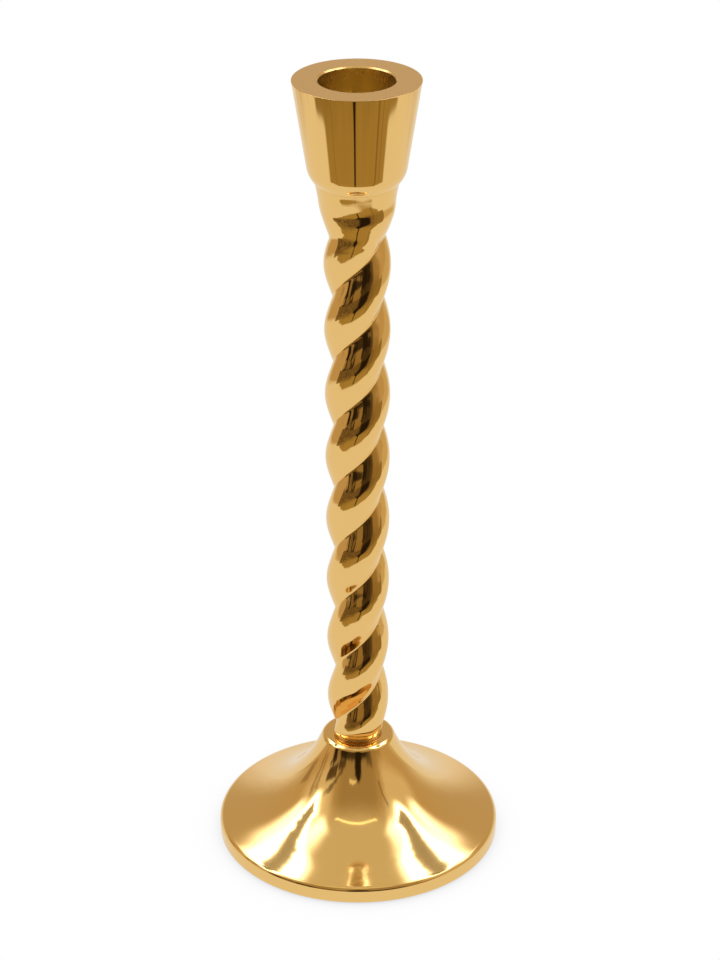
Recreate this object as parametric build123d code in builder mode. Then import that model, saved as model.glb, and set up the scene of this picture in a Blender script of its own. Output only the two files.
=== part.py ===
"""Altar candlestick with a two-strand twisted column, in polished brass.

Frame: millimetres, +Z up, origin on the table at the centre of the foot, -Y is the front.

From the table up: a felt ring is glued into a rebate under the cast foot. A steel stud is
locked to the foot by a nut and two washers below and by a thin nut above. A loose brass ring
lies round the thin nut and carries the column. The column is a cast twisted stem, with a turned
candle cup held on its head by a second stud. The column screws down on the foot stud by hand,
and unscrews again.
"""

from build123d import *
from math import cos, radians, sin, sqrt
import os

# ---- Foot: a trumpet-shaped dish with a short upright skirt ----------------------------------
foot_radius = 44.15
foot_lift = 0.5             # the felt holds the skirt this far off the table
skirt_round = 2.0           # rounding from the dish's edge into the skirt
neck_height = 35.1          # flat top, which carries the ring
neck_round = 0.85           # rounded edge of the flat top
neck_hole_radius = 3.2

neck_fall = 67.5            # angle the dish falls at below the neck's edge, in degrees
edge_fall = 18.5            # and where it meets the skirt's rounding
neck_radius = 11.2
dish_edge_height = 5.85
foot_wall = 3.2
boss_thickness = 5.0        # metal under the flat top
land_inner_radius = 35.0    # flat land under the rim

felt_inner_radius = 36.4
felt_outer_radius = 42.6
felt_thickness = 1.5
felt_gap = 0.1

# ---- Stem: two round strands turning about the axis, with a turned head and lower end --------
strand_radius = 7.37
strand_offset = 2.26        # each strand's centre to the axis
groove_round = 1.5
twist_pitch = 41.6          # height of one full turn
strand_angle = 76.8         # where one strand's crest is, from +X, at mid height
mid_height = 120.0
twist_taper = 0.019 / 80    # the strands thicken upwards by this much of their size per mm

end_radius = 7.45           # turned lower end, standing on the ring
end_round_width = 2.2       # it rounds out by this much
end_round_height = 8.3      # over this height, above which the strands are whole

head_radius = 11.95         # head, under the candle cup
head_height = 219.3
head_waist_radius = 11.05
head_waist_height = 212.7
head_bottom_radius = 7.0
head_bottom_height = 203.4
twist_top_height = 209.0    # the strands end inside the head

# ---- Candle cup ------------------------------------------------------------------------------
overall_height = 250.0
rim_radius = 18.57
rim_round = 0.3
cup_corner_radius = 14.2    # where the wall's line meets the underside's line
cup_corner_height = 222.1
cup_corner_round = 8.0
cup_bottom_radius = 12.0
bore_radius = 11.1          # holds a candle 22 mm across
bore_depth = 22.0
bore_chamfer = 0.4
bore_floor_round = 1.0

# ---- Ring, studs, nuts and washers -----------------------------------------------------------
ring_radius = 7.5
ring_bore_radius = 6.2
ring_thickness = 1.1
ring_round = 0.45

stud_radius = 3.0           # M6
stud_chamfer = 0.6
tapped_radius = 3.03        # a hole with room for the stud to turn
drill_over = 1.0            # a tapped hole is drilled this much past its stud
foot_stud_length = 30.0
foot_stud_below_nut = 1.5
cup_stud_length = 18.0
cup_stud_in_cup = 5.5

nut_flats = 10.0
nut_height = 5.0
thin_nut_height = 3.2
nut_chamfer_height = 0.35   # height taken off each corner, above and below
nut_chamfer_depth = 0.6     # and how far in from the corner
counterbore_radius = 6.05   # recess in the column's lower end, over the thin nut
counterbore_over = 0.4

washer_radius = 6.0
washer_thickness = 1.6
spring_washer_radius = 5.5
spring_washer_split = 0.8   # width of the cut through it
spring_washer_slant = 20.0  # the cut leans this far over, in degrees
washer_bore_radius = 3.2

# ---- Places that follow ----------------------------------------------------------------------
neck_edge_height = neck_height - neck_round * (1 - cos(radians(neck_fall)))
dish_edge_radius = foot_radius - skirt_round * (1 - sin(radians(edge_fall)))
boss_bottom = neck_height - boss_thickness
washer_bottom = boss_bottom - washer_thickness
spring_washer_bottom = washer_bottom - washer_thickness
nut_bottom = spring_washer_bottom - nut_height
foot_stud_bottom = nut_bottom - foot_stud_below_nut
foot_stud_top = foot_stud_bottom + foot_stud_length
thin_nut_top = neck_height + thin_nut_height
column_bottom = neck_height + ring_thickness
counterbore_top = thin_nut_top + counterbore_over
cup_stud_top = head_height + cup_stud_in_cup
cup_stud_bottom = cup_stud_top - cup_stud_length
bore_floor = overall_height - bore_depth


def save(part, name):
    """Names a finished piece and writes its file."""
    part.label = name
    export_step(part, f"parts/{name}.step")


def falling(angle):
    """Direction of a line that goes outwards and falls at an angle in degrees."""
    return (cos(radians(angle)), -sin(radians(angle)))


def make_ring(inner, outer, bottom, height, edge_round, name):
    """A flat ring on the axis, with its outer edges rounded."""
    with BuildPart() as ring:
        with BuildSketch(Plane.XY.offset(bottom)):
            Circle(outer)
            Circle(inner, mode=Mode.SUBTRACT)
        extrude(amount=height)
        if edge_round > 0:
            rims = ring.edges().filter_by(GeomType.CIRCLE).sort_by(SortBy.RADIUS)[-2:]
            fillet(rims, edge_round)
    save(ring.part, name)


def make_stud(bottom, length, name):
    """A stud on the axis, chamfered at both ends."""
    with BuildPart() as stud:
        with BuildSketch(Plane.XY.offset(bottom)):
            Circle(stud_radius)
        extrude(amount=length)
        chamfer(stud.edges().filter_by(GeomType.CIRCLE), stud_chamfer)
    save(stud.part, name)


def make_nut(bottom, height, name):
    """A hexagon nut on the axis, with its corners turned off above and below."""
    corner = nut_flats / 2 / cos(radians(30))
    with BuildPart() as nut:
        with BuildSketch(Plane.XY.offset(bottom)):
            RegularPolygon(nut_flats / 2, 6, major_radius=False)
            Circle(tapped_radius, mode=Mode.SUBTRACT)
        extrude(amount=height)
        with BuildSketch(Plane.XZ):
            with BuildLine():
                Polyline(
                    (0, bottom),
                    (corner - nut_chamfer_depth, bottom),
                    (corner, bottom + nut_chamfer_height),
                    (corner, bottom + height - nut_chamfer_height),
                    (corner - nut_chamfer_depth, bottom + height),
                    (0, bottom + height),
                    close=True,
                )
            make_face()
        revolve(axis=Axis.Z, mode=Mode.INTERSECT)
    save(nut.part, name)


def strand_section(level):
    """Outline of the two strands, and of the grooves between them, at a height."""
    size = 1 + twist_taper * (level - mid_height)
    turn = strand_angle + 360 * (level - mid_height) / twist_pitch
    reach = strand_radius + groove_round
    groove_centre = sqrt(reach**2 - strand_offset**2)
    join_x = size * strand_offset * groove_round / reach
    join_y = size * groove_centre * strand_radius / reach
    crest = size * (strand_offset + strand_radius)
    waist = size * (groove_centre - groove_round)
    with BuildSketch(Plane.XY.offset(level).rotated((0, 0, turn))) as section:
        with BuildLine():
            ThreePointArc((join_x, -join_y), (crest, 0), (join_x, join_y))
            ThreePointArc((join_x, join_y), (0, waist), (-join_x, join_y))
            ThreePointArc((-join_x, join_y), (-crest, 0), (-join_x, -join_y))
            ThreePointArc((-join_x, -join_y), (0, -waist), (join_x, -join_y))
        make_face()
    return section.sketch


os.makedirs("parts", exist_ok=True)

# ---- Foot ------------------------------------------------------------------------------------
# The dish's line, from the neck outwards: radius, height and the angle it falls at
dish_line = [
    (neck_radius, neck_edge_height, neck_fall),
    (17.0, 23.7, 55.5),
    (23.0, 16.8, 43.0),
    (31.0, 11.0, 30.0),
    (dish_edge_radius, dish_edge_height, edge_fall),
]
dish = [(radius, height) for radius, height, fall in dish_line]
ends = [falling(neck_fall), falling(edge_fall)]

# The hollow's line runs one wall thickness inside the dish
hollow = [
    (radius - foot_wall * sin(radians(fall)), height - foot_wall * cos(radians(fall)))
    for radius, height, fall in dish_line
]

with BuildPart() as foot:
    with BuildSketch(Plane.XZ):
        with BuildLine():
            edge = JernArc(dish[0], falling(neck_fall + 180), neck_round, neck_fall)
            Polyline(edge @ 1, (0, neck_height), (0, foot_lift), (foot_radius, foot_lift))
            Spline(*dish, tangents=ends)
            rounding = JernArc(dish[-1], falling(edge_fall), skirt_round, edge_fall - 90)
            Line(rounding @ 1, (foot_radius, foot_lift))
        make_face()
    revolve(axis=Axis.Z)
    with BuildSketch(Plane.XZ):
        with BuildLine():
            Spline(*hollow, tangents=ends)
            Polyline(hollow[0], (0, hollow[0][1]), (0, 0), (hollow[-1][0], 0), hollow[-1])
        make_face()
        Rectangle(land_inner_radius, boss_bottom, align=(Align.MIN, Align.MIN), mode=Mode.INTERSECT)
    revolve(axis=Axis.Z, mode=Mode.SUBTRACT)
    with BuildSketch():
        Circle(felt_outer_radius + felt_gap)
        Circle(felt_inner_radius - felt_gap, mode=Mode.SUBTRACT)
    extrude(amount=felt_thickness, mode=Mode.SUBTRACT)
    with BuildSketch():
        Circle(neck_hole_radius)
    extrude(amount=neck_height, mode=Mode.SUBTRACT)
save(foot.part, "foot")

make_ring(felt_inner_radius, felt_outer_radius, 0, felt_thickness, 0, "felt_ring")

# ---- Studs, nuts and washers -----------------------------------------------------------------
make_stud(foot_stud_bottom, foot_stud_length, "foot_stud")
make_nut(nut_bottom, nut_height, "foot_nut")
make_nut(neck_height, thin_nut_height, "thin_nut")
make_ring(washer_bore_radius, washer_radius, washer_bottom, washer_thickness, 0, "foot_washer")
make_stud(cup_stud_bottom, cup_stud_length, "cup_stud")

with BuildPart() as spring_washer:
    with BuildSketch(Plane.XY.offset(spring_washer_bottom)):
        Circle(spring_washer_radius)
        Circle(washer_bore_radius, mode=Mode.SUBTRACT)
    extrude(amount=washer_thickness)
    with Locations((spring_washer_radius, 0, spring_washer_bottom + washer_thickness / 2)):
        Box(
            spring_washer_radius,
            spring_washer_split,
            2 * washer_thickness,
            rotation=(spring_washer_slant, 0, 0),
            mode=Mode.SUBTRACT,
        )
save(spring_washer.part, "spring_washer")

# ---- Ring under the column -------------------------------------------------------------------
make_ring(ring_bore_radius, ring_radius, neck_height, ring_thickness, ring_round, "seating_ring")

# ---- Twisted stem ----------------------------------------------------------------------------
with BuildPart() as stem:
    with BuildLine() as axis_line:
        Line((0, 0, column_bottom), (0, 0, twist_top_height))
    with BuildLine() as guide:
        Helix(
            pitch=twist_pitch,
            height=twist_top_height - column_bottom,
            radius=2 * strand_radius,
            center=(0, 0, column_bottom),
        )
    sweep(
        sections=[strand_section(column_bottom), strand_section(twist_top_height)],
        path=axis_line.wire(),
        binormal=guide.wire(),
        multisection=True,
    )
    # Lower end, rounded in to the ring
    with BuildSketch(Plane.XZ):
        with BuildLine():
            swell = EllipticalCenterArc(
                (end_radius, column_bottom + end_round_height),
                end_round_width,
                end_round_height,
                start_angle=270,
                arc_size=90,
            )
            Polyline(
                swell @ 1,
                (head_radius, column_bottom + end_round_height),
                (head_radius, twist_top_height),
                (0, twist_top_height),
                (0, column_bottom),
                swell @ 0,
            )
        make_face()
    revolve(axis=Axis.Z, mode=Mode.INTERSECT)
    # Head
    with BuildSketch(Plane.XZ):
        with BuildLine():
            side = Line((head_radius, head_height), (head_waist_radius, head_waist_height))
            TangentArc(side @ 1, (head_bottom_radius, head_bottom_height), tangent=side % 1)
            Polyline(
                (head_bottom_radius, head_bottom_height),
                (0, head_bottom_height),
                (0, head_height),
                side @ 0,
            )
        make_face()
    revolve(axis=Axis.Z)
    # Recess and tapped hole for the foot stud, and tapped hole for the cup stud
    with BuildSketch(Plane.XY.offset(column_bottom)):
        Circle(counterbore_radius)
    extrude(amount=counterbore_top - column_bottom, mode=Mode.SUBTRACT)
    with BuildSketch(Plane.XY.offset(column_bottom)):
        Circle(tapped_radius)
    extrude(amount=foot_stud_top + drill_over - column_bottom, mode=Mode.SUBTRACT)
    with BuildSketch(Plane.XY.offset(head_height)):
        Circle(tapped_radius)
    extrude(amount=cup_stud_bottom - drill_over - head_height, mode=Mode.SUBTRACT)
save(stem.part, "twisted_stem")

# ---- Candle cup ------------------------------------------------------------------------------
with BuildPart() as cup:
    with BuildSketch(Plane.XZ):
        with BuildLine():
            FilletPolyline(
                (rim_radius, overall_height),
                (cup_corner_radius, cup_corner_height),
                (cup_bottom_radius, head_height),
                radius=cup_corner_round,
            )
            Polyline(
                (cup_bottom_radius, head_height),
                (0, head_height),
                (0, overall_height),
                (rim_radius, overall_height),
            )
        make_face()
    revolve(axis=Axis.Z)
    fillet(cup.edges().filter_by(GeomType.CIRCLE).sort_by(SortBy.RADIUS)[-1], rim_round)
    with BuildSketch(Plane.XY.offset(overall_height)):
        Circle(bore_radius)
    extrude(amount=-bore_depth, mode=Mode.SUBTRACT)
    fillet(cup.edges(Select.LAST).group_by(Axis.Z)[0], bore_floor_round)
    mouth = cup.faces().filter_by(GeomType.PLANE).sort_by(Axis.Z)[-1].inner_wires()[0]
    chamfer(mouth.edges(), bore_chamfer)
    with BuildSketch(Plane.XY.offset(head_height)):
        Circle(tapped_radius)
    extrude(amount=cup_stud_in_cup + drill_over, mode=Mode.SUBTRACT)
save(cup.part, "candle_cup")
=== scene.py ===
"""Looks of the altar candlestick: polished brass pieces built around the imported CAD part."""

import math

import bpy
import numpy as np
from mathutils import Matrix, Vector


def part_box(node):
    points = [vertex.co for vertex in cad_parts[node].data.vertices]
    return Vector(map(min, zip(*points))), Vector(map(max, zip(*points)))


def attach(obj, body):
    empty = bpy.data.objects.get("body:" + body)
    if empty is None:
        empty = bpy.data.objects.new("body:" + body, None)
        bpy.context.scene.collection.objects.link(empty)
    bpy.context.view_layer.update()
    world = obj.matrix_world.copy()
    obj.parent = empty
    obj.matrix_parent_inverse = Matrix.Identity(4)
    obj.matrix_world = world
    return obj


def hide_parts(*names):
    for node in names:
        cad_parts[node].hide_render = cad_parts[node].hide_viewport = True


MM = 0.001

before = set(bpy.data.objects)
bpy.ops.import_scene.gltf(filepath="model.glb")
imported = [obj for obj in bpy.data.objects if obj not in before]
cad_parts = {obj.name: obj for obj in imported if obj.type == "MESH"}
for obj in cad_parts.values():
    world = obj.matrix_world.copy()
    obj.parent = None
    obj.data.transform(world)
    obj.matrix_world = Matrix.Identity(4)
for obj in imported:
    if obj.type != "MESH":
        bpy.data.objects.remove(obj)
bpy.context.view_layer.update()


# ---- Places read from the CAD nodes, in mm ---------------------------------------------------
def node_box(name):
    """Lowest and highest corner of a CAD node, in mm."""
    low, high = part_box(name)
    return low / MM, high / MM


cup_high = node_box("candle_cup")[1]
stem_low, stem_high = node_box("twisted_stem")
foot_high = node_box("foot")[1]
ring_low, ring_high = node_box("seating_ring")
stud_low, stud_high = node_box("foot_stud")
foot_radius = foot_high.x
neck_height = foot_high.z
rim_height = cup_high.z
seam_height = stem_high.z
column_bottom = stem_low.z


# ---- Meshes from rows of points ---------------------------------------------------------------
def make_piece(name, rows, body, materials, row_material=None, closed=False):
    """A mesh from rows of points round the axis, each row an (n, 3) array in mm.

    The rows join each to the next; an open mesh's first and last rows are drawn in to a point.
    row_material gives the material index of the band above each row.
    """
    count = len(rows[0])
    grid = np.array(rows)
    points = grid.reshape(-1, 3)
    bands = len(rows) if closed else len(rows) - 1
    faces = []
    face_materials = []
    for i in range(bands):
        a = i * count
        b = ((i + 1) % len(rows)) * count
        for j in range(count):
            k = (j + 1) % count
            faces.append((a + j, a + k, b + k, b + j))
        face_materials += [row_material[i] if row_material is not None else 0] * count
    if not closed:
        first, last = len(points), len(points) + 1
        points = np.vstack([points, grid[0].mean(0), grid[-1].mean(0)])
        a = (len(rows) - 1) * count
        for j in range(count):
            k = (j + 1) % count
            faces.append((first, k, j))
            faces.append((last, a + j, a + k))
            face_materials += [
                row_material[0] if row_material is not None else 0,
                row_material[-1] if row_material is not None else 0,
            ]
    mesh = bpy.data.meshes.new(name)
    mesh.from_pydata((points * MM).tolist(), [], faces)
    mesh.polygons.foreach_set("use_smooth", [True] * len(faces))
    for material in materials:
        mesh.materials.append(material)
    mesh.polygons.foreach_set("material_index", face_materials)
    mesh.update()
    piece = bpy.data.objects.new(name, mesh)
    bpy.context.scene.collection.objects.link(piece)
    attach(piece, body)
    return piece


def ring_of(radius, height, count=256):
    """One row of points round the axis. Radius may be one number or one for each point."""
    turn = np.linspace(0, 2 * math.pi, count, endpoint=False)
    radius = np.broadcast_to(radius, turn.shape)
    height = np.broadcast_to(height, turn.shape)
    return np.stack([radius * np.cos(turn), radius * np.sin(turn), height], -1)


def arc(centre, radius, start, end, steps=8):
    """Points on an arc in the (radius, height) plane, angles in degrees from outwards."""
    angles = np.radians(np.linspace(start, end, steps + 1))
    return [(centre[0] + radius * math.cos(a), centre[1] + radius * math.sin(a)) for a in angles]


def rounded(points, radii, steps=8):
    """A line through points with its corners rounded: one radius for each inner point."""
    line = [points[0]]
    for before, corner, after, radius in zip(points, points[1:], points[2:], radii):
        corner = np.array(corner, float)
        a = np.array(before, float) - corner
        b = np.array(after, float) - corner
        a /= np.linalg.norm(a)
        b /= np.linalg.norm(b)
        half = math.acos(np.clip(a @ b, -1, 1)) / 2
        if radius <= 0 or half > math.radians(89.9):
            line.append(tuple(corner))
            continue
        reach = radius / math.tan(half)
        middle = (a + b) / np.linalg.norm(a + b)
        centre = corner + middle * radius / math.sin(half)
        start = corner + a * reach - centre
        end = corner + b * reach - centre
        sweep = math.atan2(start[0] * end[1] - start[1] * end[0], start @ end)
        for i in range(steps + 1):
            t = sweep * i / steps
            turned = np.array(
                [
                    start[0] * math.cos(t) - start[1] * math.sin(t),
                    start[0] * math.sin(t) + start[1] * math.cos(t),
                ]
            )
            line.append(tuple(centre + turned))
    line.append(points[-1])
    return line


def filled(line, step):
    """The same line with extra points, so that no stretch is much longer than a step."""
    out = [line[0]]
    for (r0, z0), (r1, z1) in zip(line, line[1:]):
        length = math.hypot(r1 - r0, z1 - z0)
        pieces = max(1, math.ceil(length / step))
        for i in range(1, pieces + 1):
            out.append((r0 + (r1 - r0) * i / pieces, z0 + (z1 - z0) * i / pieces))
    return out


def guarded(line, gap=0.06):
    """The same line with a point close to each end of every long straight, to hold its shading."""
    out = [line[0]]
    for (r0, z0), (r1, z1) in zip(line, line[1:]):
        length = math.hypot(r1 - r0, z1 - z0)
        if length > 4 * gap:
            for share in (gap / length, 1 - gap / length):
                out.append((r0 + (r1 - r0) * share, z0 + (z1 - z0) * share))
        out.append((r1, z1))
    return out


def lathe(name, line, body, materials, zone=None, count=256, closed=False):
    """A turned piece from its (radius, height) line. zone(r, z) gives a band's material index."""
    rows = [ring_of(r, z, count) for r, z in line]
    picks = None
    if zone is not None:
        following = line[1:] + [line[0]]
        picks = [zone((a[0] + b[0]) / 2, (a[1] + b[1]) / 2) for a, b in zip(line, following)]
    return make_piece(name, rows, body, materials, picks, closed)


# ---- Shader helpers ----------------------------------------------------------------------------
class Nodes:
    """Short names for the shader nodes one material or world needs."""

    def __init__(self, tree):
        self.tree = tree
        tree.nodes.clear()

    def add(self, kind, **settings):
        node = self.tree.nodes.new(kind)
        for key, value in settings.items():
            setattr(node, key, value)
        return node

    def link(self, value, socket):
        if isinstance(value, bpy.types.NodeSocket):
            self.tree.links.new(value, socket)
        else:
            socket.default_value = value

    def math(self, operation, *values, clamp=False):
        node = self.add("ShaderNodeMath", operation=operation, use_clamp=clamp)
        for value, socket in zip(values, node.inputs):
            self.link(value, socket)
        return node.outputs[0]

    def times(self, first, second):
        return self.math("MULTIPLY", first, second)

    def plus(self, first, second):
        return self.math("ADD", first, second)

    def minus(self, first, second):
        return self.math("SUBTRACT", first, second)

    def step(self, value, low, high, to_low=0.0, to_high=1.0):
        """Smooth step of value, from to_low at low to to_high at high."""
        node = self.add("ShaderNodeMapRange", interpolation_type="SMOOTHSTEP")
        if low > high:
            low, high, to_low, to_high = high, low, to_high, to_low
        for socket, item in zip(node.inputs, (value, low, high, to_low, to_high)):
            self.link(item, socket)
        return node.outputs[0]

    def mix(self, share, first, second):
        node = self.add("ShaderNodeMix", data_type="RGBA")
        self.link(share, node.inputs[0])
        self.link(rgba(first), node.inputs[6])
        self.link(rgba(second), node.inputs[7])
        return node.outputs[2]

    def noise(self, vector, scale, detail=2.0, roughness=0.5, distortion=0.0):
        node = self.add("ShaderNodeTexNoise")
        self.link(vector, node.inputs["Vector"])
        self.link(scale, node.inputs["Scale"])
        self.link(detail, node.inputs["Detail"])
        self.link(roughness, node.inputs["Roughness"])
        self.link(distortion, node.inputs["Distortion"])
        return node.outputs["Fac"]

    def scaled(self, vector, scale):
        node = self.add("ShaderNodeMapping")
        self.link(vector, node.inputs["Vector"])
        self.link(scale, node.inputs["Scale"])
        return node.outputs["Vector"]

    def bump(self, height, distance, normal=None):
        """The normal over bumps of this height, on top of another normal if one is given."""
        node = self.add("ShaderNodeBump")
        self.link(height, node.inputs["Height"])
        self.link(distance, node.inputs["Distance"])
        self.link(1.0, node.inputs["Strength"])
        if normal is not None:
            self.link(normal, node.inputs["Normal"])
        return node.outputs["Normal"]


def rgba(colour):
    """A colour with its fourth number, or a socket as it is."""
    if isinstance(colour, tuple) and len(colour) == 3:
        return (*colour, 1.0)
    return colour


def new_material(name):
    """An empty material and its nodes."""
    material = bpy.data.materials.new(name)
    material.use_nodes = True
    return material, Nodes(material.node_tree)


def finish_material(nodes, inputs):
    """Joins a Principled shader with these inputs to the output."""
    shader = nodes.add("ShaderNodeBsdfPrincipled")
    for key, value in inputs.items():
        nodes.link(value, shader.inputs[key])
    output = nodes.add("ShaderNodeOutputMaterial")
    nodes.tree.links.new(shader.outputs[0], output.inputs[0])


BRASS = (0.93, 0.61, 0.225)
PALE_BRASS = (1.0, 0.93, 0.78)


def polar(nodes, position):
    """Radius from the axis of a position socket, with its x, y and z, in metres."""
    split = nodes.add("ShaderNodeSeparateXYZ")
    nodes.link(position, split.inputs[0])
    x, y, z = split.outputs
    squares = nodes.plus(nodes.times(x, x), nodes.times(y, y))
    return nodes.math("SQRT", squares), x, y, z


def turning_rings(nodes, position, height, pitch, normal):
    """Fine rings left by turning, running round the piece. Height and pitch in mm."""
    radius, _, _, z = polar(nodes, position)
    along = nodes.plus(radius, z)
    turns = nodes.times(along, 2 * math.pi / (pitch * MM))
    cut = nodes.math("SINE", turns)
    uneven = nodes.noise(along, 9000.0, 3.0)
    return nodes.bump(nodes.plus(nodes.times(cut, 0.4), uneven), height * MM, normal)


def casting_pits(nodes, position, depth, normal):
    """A few small round pits. Depth in mm."""
    cells = nodes.add("ShaderNodeTexVoronoi", feature="F1")
    nodes.link(position, cells.inputs["Vector"])
    nodes.link(110.0, cells.inputs["Scale"])
    near = nodes.step(cells.outputs["Distance"], 0.03, 0.012)
    few = nodes.step(nodes.noise(position, 190.0, 0.0), 0.62, 0.66)
    dot = nodes.times(near, few)
    return nodes.bump(nodes.times(dot, -1.0), depth * MM, normal)


def brass(
    name,
    roughness,
    haze=0.02,
    wave=0.0,
    wave_scale=60.0,
    rings=0.0,
    ring_pitch=0.12,
    pits=0.0,
    tone=BRASS,
    pale=0.3,
):
    """Polished brass, with a little haze, hand-polished waviness, turning rings and pits.

    wave, rings and pits are heights in mm, and ring_pitch is in mm. pale is how far the brass
    turns to PALE_BRASS where it is seen in another reflection.
    """
    material, nodes = new_material(name)
    position = nodes.add("ShaderNodeTexCoord").outputs["Object"]
    cloud = nodes.noise(position, 55.0, 3.0)
    smear = nodes.noise(nodes.scaled(position, (700.0, 700.0, 90.0)), 1.0, 3.0)
    rough = nodes.plus(roughness, nodes.times(cloud, haze))
    rough = nodes.plus(rough, nodes.times(smear, haze * 0.6))
    tone = nodes.mix(cloud, tone, tuple(0.965 * part for part in tone))
    # Seen in another reflection it is paler, so that brass in brass does not turn orange
    depth = nodes.add("ShaderNodeLightPath").outputs["Ray Depth"]
    tone = nodes.mix(nodes.times(nodes.step(depth, 0.4, 0.6), pale), tone, PALE_BRASS)
    normal = None
    if wave > 0:
        swell = nodes.noise(position, wave_scale, 1.0)
        normal = nodes.bump(swell, wave * MM)
    if rings > 0:
        normal = turning_rings(nodes, position, rings, ring_pitch, normal)
    if pits > 0:
        normal = casting_pits(nodes, position, pits, normal)
    inputs = {"Base Color": tone, "Metallic": 1.0, "Roughness": rough}
    if normal is not None:
        inputs["Normal"] = normal
    finish_material(nodes, inputs)
    return material


def steel(name):
    """Zinc-plated steel."""
    material, nodes = new_material(name)
    position = nodes.add("ShaderNodeTexCoord").outputs["Object"]
    cloud = nodes.noise(position, 400.0, 4.0)
    grain = nodes.noise(nodes.scaled(position, (2600.0, 2600.0, 500.0)), 1.0, 3.0)
    tone = nodes.mix(cloud, (0.50, 0.50, 0.49), (0.66, 0.65, 0.62))
    rough = nodes.plus(0.26, nodes.times(grain, 0.18))
    inputs = {
        "Base Color": tone,
        "Metallic": 1.0,
        "Roughness": rough,
        "Normal": nodes.bump(grain, 0.004 * MM),
    }
    finish_material(nodes, inputs)
    return material


def felt_material():
    """Green baize: short matted fibres."""
    material, nodes = new_material("green_felt")
    position = nodes.add("ShaderNodeTexCoord").outputs["Object"]
    fibres = nodes.noise(nodes.scaled(position, (2600.0, 2600.0, 2600.0)), 1.0, 5.0, 0.7, 1.5)
    patches = nodes.noise(position, 160.0, 3.0)
    light = nodes.mix(fibres, (0.008, 0.045, 0.018), (0.045, 0.16, 0.07))
    tone = nodes.mix(nodes.times(patches, 0.5), light, (0.02, 0.075, 0.03))
    inputs = {
        "Base Color": tone,
        "Roughness": 0.95,
        "Sheen Weight": 0.5,
        "Sheen Roughness": 0.5,
        "Normal": nodes.bump(fibres, 0.12 * MM),
    }
    finish_material(nodes, inputs)
    return material


cup_brass = brass("cup_brass", 0.03, haze=0.02, wave=0.006, wave_scale=130.0, pits=0.02)
rim_brass = brass(
    "rim_turned_brass",
    0.22,
    haze=0.06,
    rings=0.001,
    ring_pitch=0.10,
    tone=(0.82, 0.52, 0.18),
)
bore_brass = brass(
    "bore_turned_brass",
    0.22,
    haze=0.06,
    rings=0.012,
    ring_pitch=0.9,
    tone=(0.80, 0.64, 0.26),
    pale=0.1,
)
stem_brass = brass("stem_brass", 0.035, haze=0.03, wave=0.24, wave_scale=150.0, pits=0.02, pale=0.85)
foot_brass = brass("foot_brass", 0.055, haze=0.03, wave=0.012, wave_scale=110.0, pits=0.025, pale=0.0)
cast_brass = brass("foot_inside_brass", 0.38, haze=0.15, wave=0.06, wave_scale=500.0)
# The seating ring's darker tone is painted shade, where it sits between the stem and the foot
ring_brass_painted_shade = brass("ring_brass_painted_shade", 0.2, haze=0.06, tone=(0.55, 0.37, 0.14), pale=0.2)
zinc = steel("zinc_steel")
felt_green = felt_material()

# ---- Candle cup --------------------------------------------------------------------------------
RIM_RADIUS = 18.57
BORE_RADIUS = 11.1
BORE_DEPTH = 22.0
MOUTH_CHAMFER = 0.4
TAPPED_RADIUS = 3.03
TAPPED_DEPTH = 6.5
# Where a turned end's flat stops, before it is drawn in to a point on the axis
TIP_RADIUS = 0.5
bore_floor = rim_height - BORE_DEPTH

CUP_CORNER = (14.2, 222.1)
CUP_CORNER_ROUND = 8.0
CUP_NECK = (12.44, 219.97)
CUP_SEAM_RADIUS = 12.22
SEAM_FLAT_RADIUS = 11.6
cup_line = rounded(
    [
        (TIP_RADIUS, bore_floor),
        (BORE_RADIUS, bore_floor),
        (BORE_RADIUS, rim_height - MOUTH_CHAMFER),
        (BORE_RADIUS + MOUTH_CHAMFER, rim_height),
        (RIM_RADIUS, rim_height),
        CUP_CORNER,
        CUP_NECK,
        (CUP_SEAM_RADIUS, seam_height),
        (SEAM_FLAT_RADIUS, seam_height),
        (TAPPED_RADIUS, seam_height),
        (TAPPED_RADIUS, seam_height + TAPPED_DEPTH),
        (TIP_RADIUS, seam_height + TAPPED_DEPTH),
    ],
    [1.0, 0.05, 0.05, 0.1, CUP_CORNER_ROUND, 1.6, 0.02, 0, 0, 0],
    12,
)


def cup_zone(r, z):
    """Turned rim with its mouth edge (1), turned bore (2), or the polished outside (0)."""
    if z > rim_height - MOUTH_CHAMFER - 0.02 and r > BORE_RADIUS + 0.02:
        return 1
    if r < BORE_RADIUS + 0.03 and z > bore_floor - 0.1:
        return 2
    return 0


cup = lathe(
    "candle_cup_body",
    guarded(filled(cup_line, 1.2)),
    "column",
    [cup_brass, rim_brass, bore_brass],
    cup_zone,
)
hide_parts("candle_cup")

# ---- Twisted stem ------------------------------------------------------------------------------
STRAND_RADIUS = 7.37
STRAND_OFFSET = 2.26
GROOVE_ROUND = 1.5
TWIST_PITCH = 41.6
STRAND_ANGLE = math.radians(76.8)
MID_HEIGHT = 120.0
# The strands are 0.019 of their size wider 80 mm above the middle
TWIST_TAPER = 0.019 / 80
COUNT = 240

# The lower end is rounded in to this radius, over this much width and height
END_RADIUS = 7.45
END_ROUND = (2.2, 8.3)
END_BLEND = 0.35
NO_LIMIT = 99.0

# Holes inside: the recess over the thin nut, the foot stud's tapped hole, the cup stud's
RECESS_RADIUS = 6.05
RECESS_TOP = 38.7
STUD_HOLE_TOP = 51.4
CUP_STUD_HOLE_BOTTOM = 205.8

groove_reach = STRAND_RADIUS + GROOVE_ROUND
groove_centre = math.sqrt(groove_reach**2 - STRAND_OFFSET**2)
groove_join = math.atan2(groove_centre * STRAND_RADIUS, STRAND_OFFSET * GROOVE_ROUND)
turn = np.linspace(0, 2 * math.pi, COUNT, endpoint=False)


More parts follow.
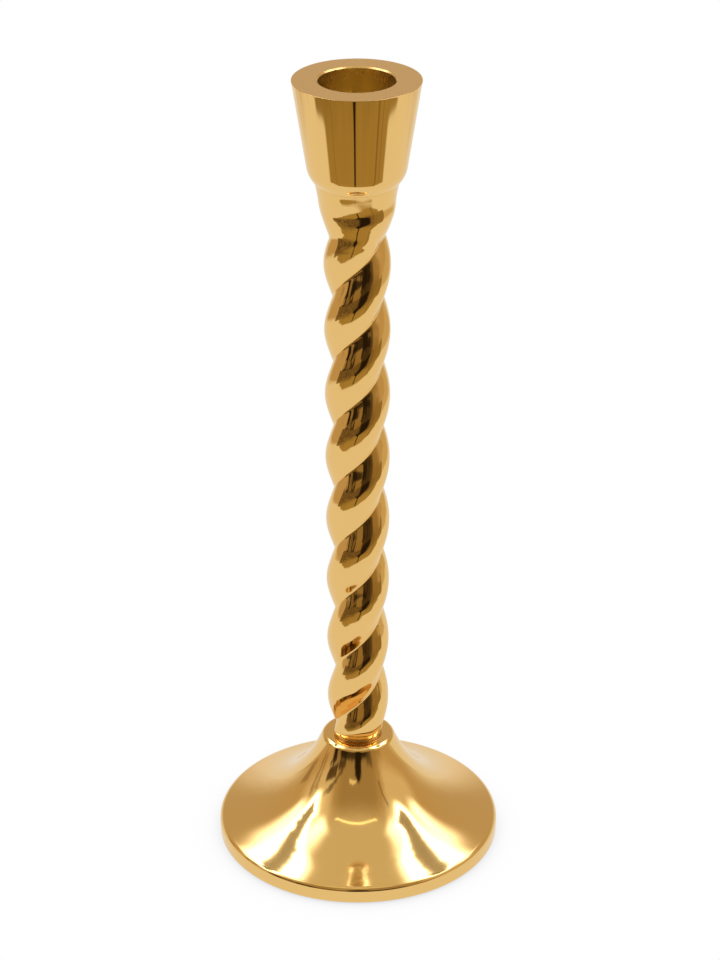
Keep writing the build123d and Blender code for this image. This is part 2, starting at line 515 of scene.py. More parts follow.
def twist_radius(height):
    """The two strands' radius at each angle, at a height."""
    lead = turn - STRAND_ANGLE - 2 * math.pi * (height - MID_HEIGHT) / TWIST_PITCH
    off = np.abs(np.mod(lead + math.pi / 2, math.pi) - math.pi / 2)
    inside = np.maximum(STRAND_RADIUS**2 - (STRAND_OFFSET * np.sin(off)) ** 2, 0)
    crest = STRAND_OFFSET * np.cos(off) + np.sqrt(inside)
    past = math.pi / 2 - off
    groove = groove_centre * np.cos(past) - np.sqrt(
        np.maximum(GROOVE_ROUND**2 - (groove_centre * np.sin(past)) ** 2, 0)
    )
    size = 1 + TWIST_TAPER * (height - MID_HEIGHT)
    return size * np.where(off < groove_join, crest, groove)


# The head: its widest radius at each height, and how much flatter it is across the strands
HEAD_HEIGHTS = [201.0, 203.0, 205.2, 207.8, 210.3, 212.0, 213.5, 215.0, 217.0, 218.4, 219.3]
HEAD_RADII = [9.75, 9.86, 9.97, 10.48, 11.04, 11.19, 11.23, 11.35, 11.71, 11.97, 12.22]
HEAD_FLATTENING = [3.20, 1.97, 1.10, 0.82, 1.00, 1.05, 0.72, 0.38, 0.17, 0.03, 0.0]


def head_radius_at(height):
    """The head's radius at each angle: an oval that turns with the strands."""
    if height < HEAD_HEIGHTS[0]:
        return None
    lead = turn - STRAND_ANGLE - 2 * math.pi * (height - MID_HEIGHT) / TWIST_PITCH
    radius = smooth_table(height, HEAD_HEIGHTS, HEAD_RADII)
    flattening = smooth_table(height, HEAD_HEIGHTS, HEAD_FLATTENING)
    return radius - flattening * np.sin(lead) ** 2


def smooth_table(at, places, values):
    """A value between the table's rows, without corners at the rows."""
    slopes = np.gradient(values, places)
    i = int(np.clip(np.searchsorted(places, at) - 1, 0, len(places) - 2))
    gap = places[i + 1] - places[i]
    u = (at - places[i]) / gap
    return (
        (2 * u**3 - 3 * u**2 + 1) * values[i]
        + (u**3 - 2 * u**2 + u) * gap * slopes[i]
        + (3 * u**2 - 2 * u**3) * values[i + 1]
        + (u**3 - u**2) * gap * slopes[i + 1]
    )


def end_radius_at(height):
    """Radius the lower end is rounded in to."""
    width, rise = END_ROUND
    share = (column_bottom + rise - height) / rise
    if share <= 0:
        return NO_LIMIT
    return END_RADIUS + width * math.sqrt(max(0.0, 1 - share**2))


def smooth_max(a, b, blend):
    """The larger of a and b, running from one to the other over the blend."""
    h = np.clip(0.5 + 0.5 * (a - b) / blend, 0, 1)
    return b * (1 - h) + a * h + blend * h * (1 - h)


def stem_radius(height):
    """The stem's radius at each angle: strands and head joined softly, the lower end rounded."""
    radius = twist_radius(height)
    head = head_radius_at(height)
    if head is not None:
        # The last term takes back the bulge that the blend leaves where the two are equal
        blend = np.interp(height, [HEAD_HEIGHTS[0], 204.0, 214.0, 218.0], [0.3, 0.9, 0.6, 0.1])
        radius = smooth_max(radius, head, blend) - blend / 4 * np.exp(
            -(((radius - head) / blend) ** 2) * 2
        )
    limit = end_radius_at(height)
    if limit < NO_LIMIT:
        radius = -smooth_max(-radius, np.full(COUNT, -limit), END_BLEND)
    return radius


SHAFT_STEP = 0.35
HEAD_STEP = 0.2
HEAD_START = 203.0
end_heights = [
    column_bottom + END_ROUND[1] * (1 - math.cos(a)) for a in np.linspace(0, math.pi / 2, 34)
]
shaft_heights = np.arange(end_heights[-1] + SHAFT_STEP, HEAD_START, SHAFT_STEP)
head_heights = np.concatenate(
    [np.arange(HEAD_START, 219.0, HEAD_STEP), [219.1, 219.2, seam_height - 0.03, seam_height]]
)
stem_rows = [
    ring_of(TIP_RADIUS, STUD_HOLE_TOP, COUNT),
    ring_of(TAPPED_RADIUS, STUD_HOLE_TOP, COUNT),
    ring_of(TAPPED_RADIUS, RECESS_TOP + 0.05, COUNT),
    ring_of(TAPPED_RADIUS + 0.05, RECESS_TOP, COUNT),
    ring_of(RECESS_RADIUS - 0.05, RECESS_TOP, COUNT),
    ring_of(RECESS_RADIUS, RECESS_TOP - 0.05, COUNT),
    ring_of(RECESS_RADIUS, column_bottom + 0.2, COUNT),
    ring_of(RECESS_RADIUS + 0.2, column_bottom, COUNT),
]
first = stem_radius(end_heights[0])
stem_rows.append(ring_of(first - 0.15, column_bottom, COUNT))
for height in np.concatenate([end_heights, shaft_heights, head_heights]):
    stem_rows.append(ring_of(stem_radius(height), height, COUNT))
stem_rows += [
    ring_of(CUP_SEAM_RADIUS - 0.03, seam_height, COUNT),
    ring_of(SEAM_FLAT_RADIUS + 0.1, seam_height, COUNT),
    ring_of(TAPPED_RADIUS, seam_height, COUNT),
    ring_of(TAPPED_RADIUS, CUP_STUD_HOLE_BOTTOM, COUNT),
    ring_of(TIP_RADIUS, CUP_STUD_HOLE_BOTTOM, COUNT),
]
stem = make_piece("twisted_stem_body", stem_rows, "column", [stem_brass])
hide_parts("twisted_stem")

# ---- Seating ring ------------------------------------------------------------------------------
RING_RADIUS = 7.5
RING_BORE_RADIUS = 6.2
RING_START = 6.9
ring_line = rounded(
    [
        (RING_START, ring_low.z),
        (RING_RADIUS, ring_low.z),
        (RING_RADIUS, ring_high.z),
        (RING_BORE_RADIUS, ring_high.z),
        (RING_BORE_RADIUS, ring_low.z),
        (RING_START, ring_low.z),
    ],
    [0.5, 0.5, 0.12, 0.12],
    6,
)[:-1]
ring = lathe("seating_ring_body", ring_line, "ring", [ring_brass_painted_shade], closed=True)
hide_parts("seating_ring")

# ---- Foot --------------------------------------------------------------------------------------
NECK_ROUND = 0.85
NECK_FALL = 67.5
EDGE_FALL = 18.5
NECK_RADIUS = 11.2
SKIRT_ROUND = 2.0
FOOT_LIFT = 0.5
DISH_EDGE_HEIGHT = 5.85
neck_edge_height = neck_height - NECK_ROUND * (1 - math.cos(math.radians(NECK_FALL)))
dish_edge_radius = foot_radius - SKIRT_ROUND * (1 - math.sin(math.radians(EDGE_FALL)))

WALL = 3.2
CLEARANCE_RADIUS = 3.2
BOSS_BOTTOM = 30.1
LAND_RADIUS = 35.0
LAND_TOP = 5.2

# The groove the felt sits in, with the felt's own size a little smaller
GROOVE = (36.3, 42.7)
FELT = (36.4, 42.6)
FELT_THICKNESS = 1.5


def spline(points, first_fall, last_fall, samples):
    """The smooth curve through points that leaves and arrives falling at these angles."""
    points = np.array(points)
    at = np.concatenate([[0.0], np.cumsum(np.hypot(*np.diff(points, axis=0).T))])

    def end_speed(t, p):
        """Speed at the first of three points of the parabola through them."""
        weights = [
            (2 * t[0] - t[1] - t[2]) / ((t[0] - t[1]) * (t[0] - t[2])),
            (t[0] - t[2]) / ((t[1] - t[0]) * (t[1] - t[2])),
            (t[0] - t[1]) / ((t[2] - t[0]) * (t[2] - t[1])),
        ]
        return np.linalg.norm(sum(w * q for w, q in zip(weights, p)))

    def falling(angle):
        return np.array([math.cos(math.radians(angle)), -math.sin(math.radians(angle))])

    slopes_in = falling(first_fall) * end_speed(at[:3], points[:3])
    slopes_out = falling(last_fall) * end_speed(at[:-4:-1], points[:-4:-1])
    count = len(points)
    matrix = np.zeros((count, count))
    right = np.zeros((count, 2))
    matrix[0, 0] = matrix[-1, -1] = 1
    right[0], right[-1] = slopes_in, slopes_out
    gap = np.diff(at)
    rise = np.diff(points, axis=0) / gap[:, None]
    for i in range(1, count - 1):
        matrix[i, i - 1 : i + 2] = gap[i], 2 * (gap[i - 1] + gap[i]), gap[i - 1]
        right[i] = 3 * (gap[i] * rise[i - 1] + gap[i - 1] * rise[i])
    slopes = np.linalg.solve(matrix, right)
    t = np.linspace(0, at[-1], samples)
    i = np.clip(np.searchsorted(at, t, side="right") - 1, 0, count - 2)
    h = gap[i][:, None]
    u = ((t - at[i]) / gap[i])[:, None]
    return (
        (2 * u**3 - 3 * u**2 + 1) * points[i]
        + (u**3 - 2 * u**2 + u) * h * slopes[i]
        + (3 * u**2 - 2 * u**3) * points[i + 1]
        + (u**3 - u**2) * h * slopes[i + 1]
    )


DISH = [
    (NECK_RADIUS, neck_edge_height, NECK_FALL),
    (17.0, 23.7, 55.5),
    (23.0, 16.8, 43.0),
    (31.0, 11.0, 30.0),
    (dish_edge_radius, DISH_EDGE_HEIGHT, EDGE_FALL),
]
dish = spline([(r, z) for r, z, fall in DISH], NECK_FALL, EDGE_FALL, 160)
hollow = spline(
    [
        (r - WALL * math.sin(math.radians(fall)), z - WALL * math.cos(math.radians(fall)))
        for r, z, fall in DISH
    ],
    NECK_FALL,
    EDGE_FALL,
    90,
)

# The neck's lip is rounder than in the CAD, by up to 0.15 mm
LIP_ROUND = 1.6
half_turn = math.tan(math.radians(NECK_FALL / 2))
lip_corner = NECK_RADIUS - NECK_ROUND * (math.sin(math.radians(NECK_FALL)) - half_turn)
lip_centre = (lip_corner - LIP_ROUND * half_turn, neck_height - LIP_ROUND)
lip_end = neck_height - LIP_ROUND * (1 - math.cos(math.radians(NECK_FALL)))
foot_line = [
    (CLEARANCE_RADIUS, BOSS_BOTTOM),
    (CLEARANCE_RADIUS, BOSS_BOTTOM + 0.3),
    (CLEARANCE_RADIUS, neck_height - 0.3),
    (CLEARANCE_RADIUS, neck_height - 0.1),
    (CLEARANCE_RADIUS + 0.1, neck_height),
]
foot_line += [(5.8, neck_height), (9.0, neck_height)]  # on the neck's flat top
foot_line += arc(lip_centre, LIP_ROUND, 90, 90 - NECK_FALL, 14)
foot_line += [(r, z) for r, z in dish[1:-1] if z < lip_end - 0.1]
skirt_centre = (
    foot_radius - SKIRT_ROUND,
    DISH_EDGE_HEIGHT - SKIRT_ROUND * math.cos(math.radians(EDGE_FALL)),
)
foot_line += arc(skirt_centre, SKIRT_ROUND, 90 - EDGE_FALL, 0, 14)
foot_line += rounded(
    [
        (foot_radius, skirt_centre[1] - 0.1),
        (foot_radius, FOOT_LIFT),
        (GROOVE[1], FOOT_LIFT),
        (GROOVE[1], FELT_THICKNESS),
        (GROOVE[0], FELT_THICKNESS),
        (GROOVE[0], FOOT_LIFT),
        (LAND_RADIUS, FOOT_LIFT),
        (LAND_RADIUS, LAND_TOP),
    ],
    [0.35, 0.1, 0.1, 0.1, 0.1, 0.15],
    4,
)
hollow = [(r, z) for r, z in hollow if r < LAND_RADIUS and z < BOSS_BOTTOM][::-1]
land_step = np.interp(LAND_RADIUS, [p[0] for p in hollow[::-1]], [p[1] for p in hollow[::-1]])
foot_line[-1] = (LAND_RADIUS, land_step)
foot_line += hollow + [(hollow[-1][0] - 0.06, BOSS_BOTTOM), (6.3, BOSS_BOTTOM), (3.5, BOSS_BOTTOM)]


def foot_zone(r, z):
    """1 inside the dish and under the rim, which stay as cast, and 0 outside."""
    if r < LAND_RADIUS + 0.1 and z < LAND_TOP + 0.3:
        return 1
    if r < GROOVE[1] + 0.1 and z < FELT_THICKNESS + 0.1:
        return 1
    top = np.interp(r, dish[:, 0], dish[:, 1])
    return 1 if z < top - WALL / 2 + 0.1 and r < GROOVE[1] - 0.2 else 0


foot = lathe(
    "foot_body",
    guarded(filled(foot_line, 2.0)),
    "foot",
    [foot_brass, cast_brass],
    foot_zone,
    count=288,
    closed=True,
)
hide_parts("foot")

# ---- Felt --------------------------------------------------------------------------------------
FELT_COUNT = 360
FELT_START = 39.0
rng = np.random.default_rng(7)
felt_line = filled(
    rounded(
        [
            (FELT_START, 0.0),
            (FELT[1], 0.0),
            (FELT[1], FELT_THICKNESS),
            (FELT[0], FELT_THICKNESS),
            (FELT[0], 0.0),
            (FELT_START, 0.0),
        ],
        [0.35, 0.15, 0.15, 0.35],
        3,
    )[:-1],
    0.5,
)
felt_rows = []
for r, z in felt_line:
    jitter = rng.normal(0, 0.03, FELT_COUNT)
    lift = np.abs(rng.normal(0, 0.02, FELT_COUNT)) if z < 0.3 else rng.normal(0, 0.01, FELT_COUNT)
    lift = np.minimum(lift, 0.05)
    radius = np.clip(r + jitter, *FELT)
    felt_rows.append(ring_of(radius, np.clip(z + lift, 0.0, FELT_THICKNESS), FELT_COUNT))
felt = make_piece("felt_pad", felt_rows, "foot", [felt_green], closed=True)
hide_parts("felt_ring")

# ---- Foot stud, with its thread ----------------------------------------------------------------
THREAD_PITCH = 1.0
THREAD_DEPTH = 0.58
THREAD_ROWS = 14
CREST_SHARE = 0.12
FLANK_SHARE = 0.74
STUD_RADIUS = 3.0
STUD_END_RADIUS = 2.4
STUD_COUNT = 64
stud_turn = np.linspace(0, 2 * math.pi, STUD_COUNT, endpoint=False)
stud_rows = []
for height in np.arange(stud_low.z, stud_high.z + 1e-6, THREAD_PITCH / THREAD_ROWS):
    phase = np.mod(height / THREAD_PITCH - stud_turn / (2 * math.pi), 1.0)
    flank = np.clip((np.abs(phase - 0.5) * 2 - CREST_SHARE) / FLANK_SHARE, 0, 1)
    radius = STUD_RADIUS - THREAD_DEPTH * flank
    to_end = min(height - stud_low.z, stud_high.z - height)
    radius = np.minimum(radius, STUD_END_RADIUS + to_end)
    stud_rows.append(ring_of(radius, height, STUD_COUNT))
stud = make_piece("foot_stud_threaded", stud_rows, "foot", [zinc])
stud.data.set_sharp_from_angle(angle=math.radians(40))
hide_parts("foot_stud")


# ---- Nuts and washers --------------------------------------------------------------------------
NUT_FLATS = 10.0
NUT_BORE = 3.02
COUNTERSINK = 0.48
NUT_FACE = 4.75
CORNER_SHARE = 0.872
# How far the chamfer reaches out at each height over the face; the last is past the corners
CHAMFER = [(0.0, 0.0), (0.12, 0.25), (0.24, 0.45), (0.42, 0.72), (0.6, 9.0)]


def hexagon(flats):
    """Radius of a hexagon at each angle, its corners on the X axis, very slightly rounded."""
    angle = np.mod(turn + math.pi / 6, math.pi / 3) - math.pi / 6
    return np.minimum(flats / 2 / np.cos(math.pi / 6 - np.abs(angle)), flats / 2 / CORNER_SHARE)


def nut_piece(node, name):
    """A hexagon nut with chamfered corners and a countersunk bore."""
    low, high = node_box(node)
    sides = hexagon(NUT_FLATS)
    rows = [
        ring_of(NUT_BORE, low.z + 0.45, COUNT),
        ring_of(NUT_BORE + 0.4, low.z + 0.02, COUNT),
        ring_of(NUT_BORE + COUNTERSINK, low.z, COUNT),
        ring_of(NUT_FACE, low.z, COUNT),
    ]
    for rise, reach in CHAMFER:
        rows.append(ring_of(np.minimum(sides, NUT_FACE + 0.2 + reach), low.z + rise, COUNT))
    for rise, reach in CHAMFER[::-1]:
        rows.append(ring_of(np.minimum(sides, NUT_FACE + 0.2 + reach), high.z - rise, COUNT))
    rows += [
        ring_of(NUT_FACE, high.z, COUNT),
        ring_of(NUT_BORE + COUNTERSINK, high.z, COUNT),
        ring_of(NUT_BORE + 0.4, high.z - 0.02, COUNT),
        ring_of(NUT_BORE, high.z - 0.45, COUNT),
    ]
    piece = make_piece(name, rows, "foot", [zinc], closed=True)
    piece.data.set_sharp_from_angle(angle=math.radians(30))
    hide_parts(node)


nut_piece("foot_nut", "foot_nut_body")
nut_piece("thin_nut", "thin_nut_body")

washer_low, washer_high = node_box("foot_washer")
WASHER_RADIUS = 6.0
WASHER_START = 4.5
washer_line = rounded(
    [
        (WASHER_START, washer_low.z),
        (WASHER_RADIUS, washer_low.z),
        (WASHER_RADIUS, washer_high.z),
        (CLEARANCE_RADIUS, washer_high.z),
        (CLEARANCE_RADIUS, washer_low.z),
        (WASHER_START, washer_low.z),
    ],
    [0.25, 0.1, 0.1, 0.15],
    4,
)[:-1]
washer = lathe("foot_washer_body", guarded(washer_line), "foot", [zinc], closed=True)
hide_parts("foot_washer")

for node in ("spring_washer", "cup_stud"):
    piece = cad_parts[node]
    piece.data.materials.clear()
    piece.data.materials.append(zinc)

# ---- Surroundings, which the brass reflects ----------------------------------------------------
WHITE = (0.84, 0.82, 0.77)
CEILING = (0.66, 0.60, 0.47)
WALLS = (0.55, 0.42, 0.25)
BACK = (0.55, 0.455, 0.33)
BROWN = (0.40, 0.29, 0.10)
FRONT = (0.33, 0.25, 0.13)
FRONT_LOW = (0.30, 0.20, 0.075)
PALE_BACK = (0.88, 0.84, 0.82)
PALE_LOW = (0.88, 0.84, 0.80)
PALE_SIDE = (0.80, 0.72, 0.60)
WALL_MARK = (0.20, 0.12, 0.04)
LIGHT_LINE = (0.95, 0.85, 0.6)
FAR_PATCH = (0.30, 0.2, 0.08)
RIGHT_SIDE = (0.62, 0.52, 0.34)
LAMP_EDGE = (2.9, 3.0, 3.5)
LAMP_GLOW = (1.3, 1.27, 1.15)
LAMP_STRIP = (5.4, 5.7, 7.0)
LAMP_SLIT = (0.27, 0.22, 0.10)
ARCH_LIGHT = (2.2, 2.0, 1.5)
DARK = (0.11, 0.075, 0.035)
BLACK = (0.02, 0.013, 0.008)


def bearing(nodes, x, y):
    """Compass angle of a place or direction in degrees: 0 at the front, positive to the right."""
    return nodes.math("DEGREES", nodes.math("ARCTAN2", x, nodes.times(y, -1.0)))


def band(nodes, value, low, high, soft_low, soft_high):
    """1 between low and high, falling away over the soft widths outside."""
    up = nodes.step(value, low - soft_low, low)
    down = nodes.step(value, high + soft_high, high)
    return nodes.times(up, down)


def stroke(nodes, az, el, points, width, soft, ends=4.0):
    """1 along a line of (bearing, height) points, rising from left to right, 0 away from it."""
    path = nodes.add("ShaderNodeFloatCurve")
    low, high = points[0][0], points[-1][0]
    share = nodes.math("DIVIDE", nodes.minus(az, low), high - low, clamp=True)
    nodes.link(share, path.inputs["Value"])
    curve = path.mapping.curves[0]
    curve.points[0].location = (0.0, points[0][1] / 90)
    curve.points[1].location = (1.0, points[-1][1] / 90)
    for at, height in points[1:-1]:
        curve.points.new((at - low) / (high - low), height / 90)
    path.mapping.update()
    middle = nodes.times(path.outputs[0], 90.0)
    off = nodes.math("ABSOLUTE", nodes.minus(el, middle))
    if isinstance(width, tuple):
        width = nodes.plus(width[0], nodes.times(share, width[1] - width[0]))
    near = nodes.minus(off, width)
    inside = nodes.step(near, soft, 0.0)
    start, end = ends if isinstance(ends, tuple) else (ends, ends)
    return nodes.times(inside, band(nodes, az, low, high, start, end))


def patch(nodes, az, el, low, high, bottom, top, soft):
    """1 inside a box of bearings and heights, soft at its edges."""
    across = band(nodes, az, low, high, soft, soft)
    return nodes.times(across, band(nodes, el, bottom, top, soft, soft))


def walls(nodes, az, el):
    """Warm walls and a pale ceiling, darker in front."""
    side = nodes.math("ABSOLUTE", az)
    # Warm walls, paler at the back, and the ceiling
    colour = nodes.mix(nodes.step(side, 100.0, 150.0), WALLS, BACK)
    colour = nodes.mix(nodes.step(el, 36.0, 66.0), colour, CEILING)
    # Darker in front, darkest low down
    front = nodes.step(side, 62.0, 30.0)
    colour = nodes.mix(nodes.times(front, nodes.step(el, 66.0, 40.0, 0.0, 0.8)), colour, FRONT)
    lower = nodes.times(nodes.step(side, 74.0, 56.0), nodes.step(el, 26.0, -2.0))
    colour = nodes.mix(lower, colour, FRONT_LOW)
    # Pale low walls towards the back
    pale = nodes.times(nodes.step(side, 150.0, 176.0), nodes.step(el, 22.0, 4.0))
    colour = nodes.mix(pale, colour, PALE_BACK)
    low_pale = nodes.times(nodes.step(side, 112.0, 150.0), nodes.step(el, 18.0, -4.0, 0.0, 0.8))
    colour = nodes.mix(low_pale, colour, PALE_LOW)
    # Paler between the front and the walls
    between = band(nodes, side, 62.0, 98.0, 14.0, 16.0)
    fill = nodes.times(between, band(nodes, el, 20.0, 50.0, 14.0, 10.0))
    colour = nodes.mix(nodes.times(fill, 0.7), colour, PALE_SIDE)
    # Faint upright lines on the left wall
    marks = [(-117.0, -2.0, 11.0, 3.0), (-95.0, 2.0, 28.0, 1.5), (-88.0, 5.0, 24.0, 1.0)]
    for at, bottom, top, width in marks:
        mark = patch(nodes, az, el, at - width, at + width, bottom, top, 2.5)
        colour = nodes.mix(nodes.times(mark, 0.55), colour, WALL_MARK)
    return colour


def dark_things(nodes, colour, direction, az, el):
    """Furniture, a figure and other dark things in front, over a colour."""
    # Dark furniture left of the camera
    broken = nodes.step(nodes.noise(direction, 8.0, 2.0), 0.44, 0.56, 0.3, 1.0)
    broken = nodes.math("MAXIMUM", broken, nodes.step(el, 12.0, 16.0))
    for low, high, bottom, top in ((-72.0, -53.0, -14.0, 22.0), (-49.0, -34.0, -12.0, 18.0)):
        shade = nodes.mix(nodes.step(el, 20.0, 8.0), DARK, BLACK)
        block = patch(nodes, az, el, low, high, bottom, top, 2.5)
        colour = nodes.mix(nodes.times(block, broken), colour, shade)
    beam = stroke(nodes, az, el, [(-72.0, 33.0), (-56.0, 28.0), (-38.0, 19.0)], 1.6, 1.6)
    colour = nodes.mix(nodes.times(beam, 0.8), colour, DARK)
    # A dark figure in front, with what stands about it
    figure = stroke(nodes, az, el, [(-7.0, 15.0), (-3.0, 18.0), (2.0, 20.0), (7.0, 15.0)], 9.0, 3.0)
    colour = nodes.mix(figure, colour, BLACK)
    brow_line = [(-50.0, 8.0), (-30.0, 12.5), (-8.0, 13.5), (12.0, 13.0), (30.0, 9.0)]
    brow = stroke(nodes, az, el, brow_line, 2.0, 2.0)
    colour = nodes.mix(nodes.times(brow, 0.92), colour, BLACK)
    cluster = patch(nodes, az, el, -4.0, 29.0, -24.0, 13.0, 4.0)
    colour = nodes.mix(nodes.times(cluster, 0.85), colour, BLACK)
    small = patch(nodes, az, el, 24.0, 35.0, -10.0, 17.0, 3.0)
    colour = nodes.mix(nodes.times(small, 0.7), colour, DARK)
    bright = stroke(nodes, az, el, [(-19.0, 29.0), (-10.0, 30.0), (-5.0, 29.5)], 0.8, 1.2, 2.0)
    colour = nodes.mix(bright, colour, LIGHT_LINE)
    # Thin dark diagonal on the right
    cable = stroke(nodes, az, el, [(47.0, 28.0), (52.0, 36.0), (60.0, 44.0)], 1.0, 1.6, 2.0)
    colour = nodes.mix(nodes.times(cable, 0.7), colour, DARK)
    return colour


def lamps(nodes, colour, az, el, plain_az, plain_el):
    """Two soft lamps over a colour: a wide glow, a bright strip, and a dark slit along the strip."""
    left = [
        (-155.0, 50.0),
        (-146.0, 55.0),
        (-128.0, 57.5),
        (-110.0, 53.5),
        (-95.0, 46.0),
        (-84.0, 39.0),
    ]
    right = [(78.0, 49.0), (88.0, 51.0), (100.0, 56.0), (118.0, 60.5), (140.0, 59.0), (155.0, 53.5)]
    low_left = [(-134.0, 47.0), (-118.0, 43.0), (-106.0, 37.0)]
    low_right = [(104.0, 38.0), (114.0, 44.0), (132.0, 49.0)]
    high_left = [(-112.0, 60.0), (-92.0, 60.0), (-74.0, 58.0)]
    high_right = [(70.0, 60.0), (88.0, 63.0), (110.0, 65.0)]
    for line in (low_left, low_right, high_left, high_right):
        glow = stroke(nodes, plain_az, plain_el, line, 1.0, 12.0, 18.0)
        colour = nodes.mix(nodes.math("POWER", glow, 1.6), colour, LAMP_EDGE)
    for line, widths, front_end, strip_end in (
        (left, (2.0, 5.0), (12.0, 32.0), (6.0, 14.0)),
        (right, (5.5, 2.2), (30.0, 12.0), (14.0, 6.0)),
    ):
        glow = stroke(nodes, plain_az, plain_el, line, 3.0, 15.0, front_end)
        colour = nodes.mix(nodes.math("POWER", glow, 1.8), colour, LAMP_GLOW)
        strip = stroke(nodes, plain_az, plain_el, line, 6.5, 7.5, strip_end)
        colour = nodes.mix(nodes.math("POWER", strip, 1.5), colour, LAMP_STRIP)
        slit = stroke(nodes, az, el, line, widths, 1.8, 3.0)
        colour = nodes.mix(nodes.times(slit, 0.97), colour, LAMP_SLIT)
    # Thin bright line high in front
    arch = [(-42.0, 57.5), (-30.0, 61.0), (0.0, 64.2), (25.0, 61.2), (34.0, 59.0)]
    line = stroke(nodes, plain_az, plain_el, arch, 0.4, 0.8, 8.0)
    colour = nodes.mix(line, colour, ARCH_LIGHT)
    return colour


def build_world():
    """The room the brass reflects: two soft lamps, pale ceiling, warm walls, dark things in front."""
    world = bpy.data.worlds.new("room")
    bpy.context.scene.world = world
    world.use_nodes = True
    nodes = Nodes(world.node_tree)
    direction = nodes.add("ShaderNodeTexCoord").outputs["Generated"]
    split = nodes.add("ShaderNodeSeparateXYZ")
    nodes.link(direction, split.inputs[0])
    x, y, z = split.outputs
    wander = nodes.minus(nodes.noise(direction, 3.0, 3.0), 0.5)
    ripple = nodes.minus(nodes.noise(direction, 16.0, 4.0), 0.5)
    plain_az = bearing(nodes, x, y)
    plain_el = nodes.math("DEGREES", nodes.math("ARCSINE", z))
    az = nodes.plus(plain_az, nodes.times(wander, 6.0))
    az = nodes.plus(az, nodes.times(ripple, 7.0))
    el = nodes.plus(plain_el, nodes.times(ripple, 5.0))

    colour = walls(nodes, az, el)
    colour = dark_things(nodes, colour, direction, az, el)
    colour = lamps(nodes, colour, az, el, plain_az, plain_el)

    path = nodes.add("ShaderNodeLightPath")
    seen = nodes.mix(path.outputs["Is Camera Ray"], colour, (1.0, 1.0, 1.0))
    background = nodes.add("ShaderNodeBackground")
    nodes.link(seen, background.inputs["Color"])
    output = nodes.add("ShaderNodeOutputWorld")
    nodes.tree.links.new(background.outputs[0], output.inputs[0])


def sheet_and_room(nodes, position):
    """What the brass sees of the table: a white sheet, with the darker room past its edges."""
    radius, x, y, _ = polar(nodes, position)
    wander = nodes.minus(nodes.noise(position, 4.0, 3.0), 0.5)
    streaks = nodes.minus(nodes.noise(position, 16.0, 4.0), 0.5)
    az = nodes.plus(bearing(nodes, x, y), nodes.times(wander, 3.0))
    dist = nodes.times(radius, nodes.plus(1.0, nodes.times(streaks, 0.35)))

    # The sheet's front edge bends away to the sides, and ends at each side further out
    flare = nodes.step(radius, 0.362, 0.402, 0.0, 17.0)
    flare = nodes.minus(flare, nodes.step(radius, 0.31, 0.2, 0.0, 14.0))
    turned = nodes.math("ABSOLUTE", nodes.plus(az, 1.5))
    front = nodes.step(nodes.minus(turned, flare), 67.5, 63.0)
    bend = nodes.times(nodes.times(az, az), 0.000012)
    past_edge = nodes.minus(radius, bend)
    away = nodes.step(past_edge, 0.163, 0.184)
    darker = nodes.times(nodes.step(dist, 0.26, 0.6), nodes.step(az, 48.0, 24.0, 0.35, 1.0))
    room = nodes.mix(darker, BROWN, DARK)
    patchy = nodes.step(nodes.noise(position, 7.0, 4.0, 0.6, 0.6), 0.42, 0.62)
    far = nodes.step(dist, 0.35, 0.6)
    room = nodes.mix(nodes.times(patchy, nodes.times(far, 0.75)), room, FAR_PATCH)
    # Painted shadow of a stand on the sheet, seen only in reflections: a dark line that widens away
    # from the object
    centre = nodes.step(radius, 0.34, 0.7, -5.0, 12.0)
    half = nodes.step(radius, 0.32, 0.5, 1.8, 17.0)
    from_line = nodes.math("DIVIDE", nodes.math("ABSOLUTE", nodes.minus(az, centre)), half)
    shade = nodes.times(nodes.step(from_line, 1.25, 0.75), nodes.step(radius, 0.16, 0.2))
    room = nodes.mix(shade, room, BLACK)
    # Fainter radial lines beside it
    lines = [(43.0, 2.5, 0.5), (52.0, 1.2, 0.35), (-50.0, 1.5, 0.25), (-3.0, 1.5, 0.4)]
    for at, width, depth in lines:
        off = nodes.math("ABSOLUTE", nodes.minus(az, at))
        room = nodes.mix(nodes.times(nodes.step(off, width, width * 0.4), depth), room, DARK)
    sheet = nodes.mix(nodes.times(front, away), WHITE, room)
    # Beyond the sheet at the sides
    sideways = nodes.step(nodes.math("ABSOLUTE", az), 150.0, 125.0)
    beyond = nodes.times(nodes.step(dist, 0.42, 0.62), sideways)
    beyond = nodes.times(beyond, nodes.minus(1.0, front))
    aside = nodes.mix(nodes.step(az, 0.0, 20.0), WALLS, RIGHT_SIDE)
    return nodes.mix(beyond, sheet, aside)


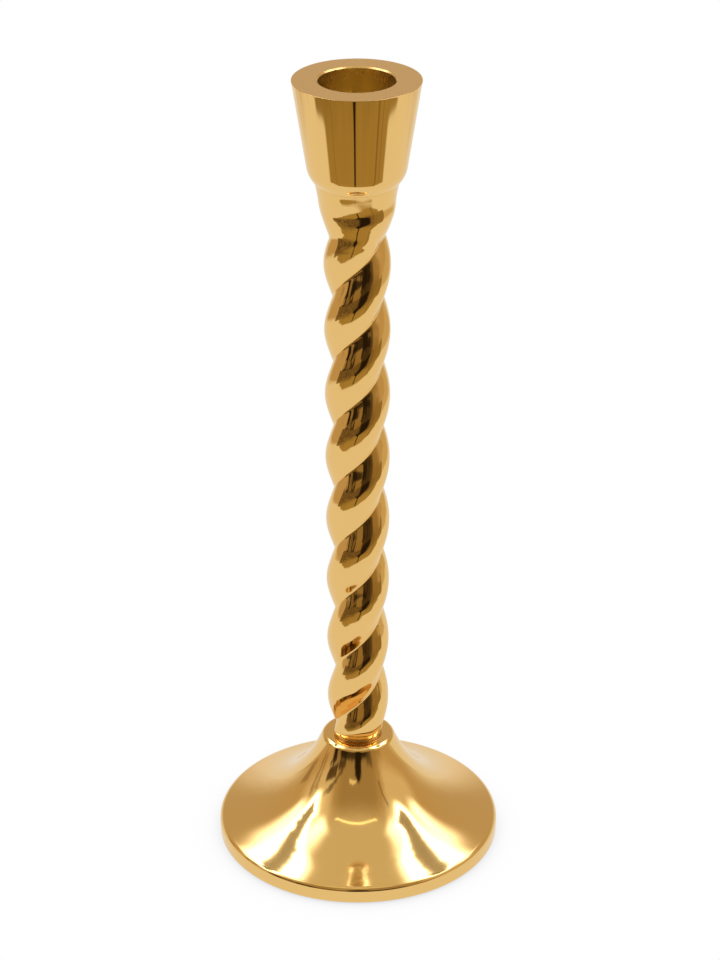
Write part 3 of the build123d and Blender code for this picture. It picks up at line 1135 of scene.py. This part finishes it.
def build_floor():
    """White paper: white to the camera but for a painted contact shadow round the foot, and to the
    brass a sheet that ends in a dark room.
    """
    mesh = bpy.data.meshes.new("floor")
    reach = 6.0
    corners = [(-reach, -reach, 0), (reach, -reach, 0), (reach, reach, 0), (-reach, reach, 0)]
    mesh.from_pydata(corners, [], [(0, 1, 2, 3)])
    floor = bpy.data.objects.new("floor", mesh)
    bpy.context.scene.collection.objects.link(floor)
    floor.location.z = -0.02 * MM

    material, nodes = new_material("paper")
    mesh.materials.append(material)
    geometry = nodes.add("ShaderNodeNewGeometry")
    position = geometry.outputs["Position"]
    sheet = sheet_and_room(nodes, position)
    # Painted contact shadow: the camera's white is darkened where the paper is occluded close to the
    # candlestick
    hidden = nodes.add("ShaderNodeAmbientOcclusion")
    nodes.link(0.02, hidden.inputs["Distance"])
    painted_contact_shadow = nodes.step(hidden.outputs["AO"], 0.0, 1.0, 0.72, 1.0)
    white = nodes.mix(painted_contact_shadow, (0.0, 0.0, 0.0), (1.0, 1.0, 1.0))
    path = nodes.add("ShaderNodeLightPath")
    seen = nodes.mix(path.outputs["Is Camera Ray"], sheet, white)
    emission = nodes.add("ShaderNodeEmission")
    nodes.link(seen, emission.inputs["Color"])
    clear = nodes.add("ShaderNodeBsdfTransparent")
    either = nodes.add("ShaderNodeMixShader")
    nodes.link(geometry.outputs["Backfacing"], either.inputs[0])
    nodes.tree.links.new(emission.outputs[0], either.inputs[1])
    nodes.tree.links.new(clear.outputs[0], either.inputs[2])
    output = nodes.add("ShaderNodeOutputMaterial")
    nodes.tree.links.new(either.outputs[0], output.inputs[0])


build_world()
build_floor()

# ---- Camera ------------------------------------------------------------------------------------
ELEVATION = math.radians(26.99)
DISTANCE = 0.8402
TARGET_HEIGHT = 0.12366
ROLL = math.radians(-0.111)
LENS = 104.59
SHIFT = (0.0025, 0.00052)

camera_data = bpy.data.cameras.new("camera")
camera = bpy.data.objects.new("camera", camera_data)
bpy.context.scene.collection.objects.link(camera)
camera_data.sensor_width = 36.0
camera_data.lens = LENS
camera_data.shift_x, camera_data.shift_y = SHIFT
camera_data.clip_start = 0.05
camera_data.clip_end = 50.0
back = Vector((0, -math.cos(ELEVATION), math.sin(ELEVATION)))
camera.location = Vector((0, 0, TARGET_HEIGHT)) + back * DISTANCE
aim = Matrix.Rotation(math.radians(90) - ELEVATION, 4, "X") @ Matrix.Rotation(ROLL, 4, "Z")
camera.rotation_euler = aim.to_euler()
bpy.context.scene.camera = camera

scene = bpy.context.scene
scene.view_settings.view_transform = "Standard"
scene.cycles.max_bounces = 12
scene.cycles.glossy_bounces = 8
scene.cycles.sample_clamp_indirect = 8.0
